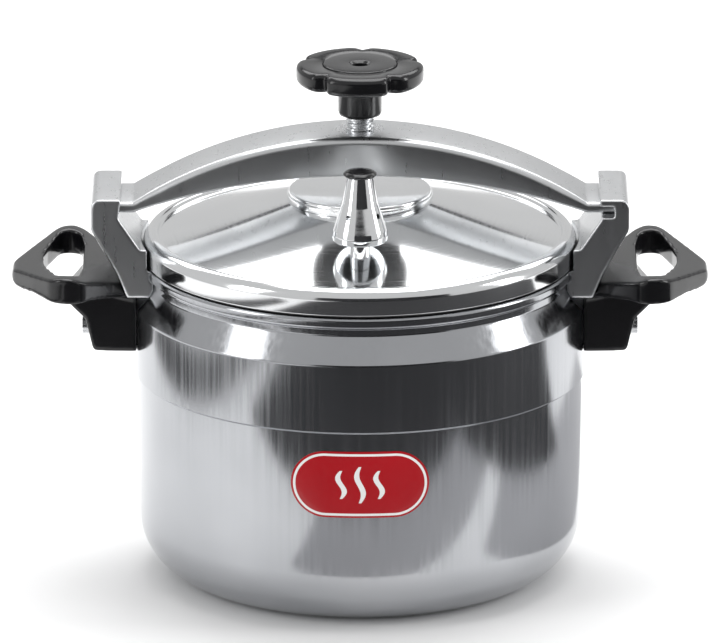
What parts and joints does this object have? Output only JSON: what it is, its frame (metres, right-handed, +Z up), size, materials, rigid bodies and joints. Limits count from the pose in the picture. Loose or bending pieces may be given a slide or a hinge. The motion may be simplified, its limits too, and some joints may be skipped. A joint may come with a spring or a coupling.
{
  "type": "pressure cooker",
  "caption": "Clamp-bow pressure cooker: deep round pot, domed lid, arched bow under two hook lugs, screw knob, pressure weight and two loop handles.",
  "frame": {"origin": "centre of the pot's flat base, on the surface that it stands on", "axes": "+Z up, +X through the right handle, -Y towards the front, where the badge and the pressure weight are"},
  "size_m": [0.408, 0.2644, 0.3078],
  "materials": {
    "pot_aluminium": "polished",
    "lid_aluminium": "mirror polished",
    "cast_aluminium": "satin cast, polished edges",
    "bakelite": "moulded, semi-gloss",
    "weight_chrome": "chrome plated",
    "screw_steel": "zinc plated",
    "rivet_aluminium": "satin",
    "brass": "turned",
    "seal_rubber": "matte",
    "washer_fibre": "matte",
    "badge_red": "gloss enamel"
  },
  "bodies": {
    "pot": {"pot_shell": "pot_aluminium", "badge": "badge_red", "lug_left": "cast_aluminium", "lug_right": "cast_aluminium", "lug_rivets": "rivet_aluminium", "handle_left": "bakelite", "handle_right": "bakelite", "handle_bolts": "screw_steel", "handle_nuts": "screw_steel", "handle_washers": "washer_fibre"},
    "bow": {"bow_arm": "cast_aluminium", "bow_bush": "screw_steel"},
    "foot": {"screw_foot": "screw_steel", "foot_snap_ring": "screw_steel"},
    "screw": {"clamp_screw": "screw_steel", "knob": "bakelite", "knob_cap": "bakelite", "knob_fixing_screw": "screw_steel"},
    "lid": {"lid_shell": "lid_aluminium", "lid_gasket": "seal_rubber", "pressure_plate": "lid_aluminium", "plate_screws": "screw_steel", "vent_pipe": "weight_chrome", "vent_nut": "brass", "vent_washer": "seal_rubber", "valve_body": "screw_steel", "valve_nut": "screw_steel", "valve_washer": "seal_rubber", "valve_cap": "screw_steel", "valve_spring": "screw_steel"},
    "needle": {"weight_needle": "screw_steel"},
    "weight": {"weight_body": "weight_chrome", "weight_top": "bakelite"},
    "plunger": {"valve_plunger": "brass"}
  },
  "joints": [
    {"name": "bow_swing", "type": "hinge", "parent": "pot", "child": "bow", "pos_m": [0, 0, 0.2559], "axis": [0, 0, 1], "range_deg": [-60, 0]},
    {"name": "clamp_travel", "type": "slide", "parent": "bow", "child": "foot", "axis": [0, 0, 1], "range_m": [0, 0.009]},
    {"name": "knob_turn", "type": "hinge", "parent": "foot", "child": "screw", "pos_m": [0, 0, 0.28], "axis": [0, 0, 1], "range_deg": [0, 1080]},
    {"name": "lid_swivel", "type": "hinge", "parent": "foot", "child": "lid", "pos_m": [0, 0, 0.2286], "axis": [0, 0, 1], "range_deg": [-50, 50]},
    {"name": "weight_lift", "type": "slide", "parent": "lid", "child": "needle", "axis": [0, 0, 1], "range_m": [0, 0.012]},
    {"name": "weight_spin", "type": "hinge", "parent": "needle", "child": "weight", "pos_m": [0, -0.079, 0.24], "axis": [0, 0, 1], "continuous": true},
    {"name": "plunger_lift", "type": "slide", "parent": "lid", "child": "plunger", "axis": [0, 0, 1], "range_m": [0, 0.003], "stiffness_N_per_m": 600, "deforming": ["valve_spring"]}
  ],
  "couplings": [
    {"joint": "knob_turn", "follows": "clamp_travel", "rad_per_m": 2094.4}
  ]
}
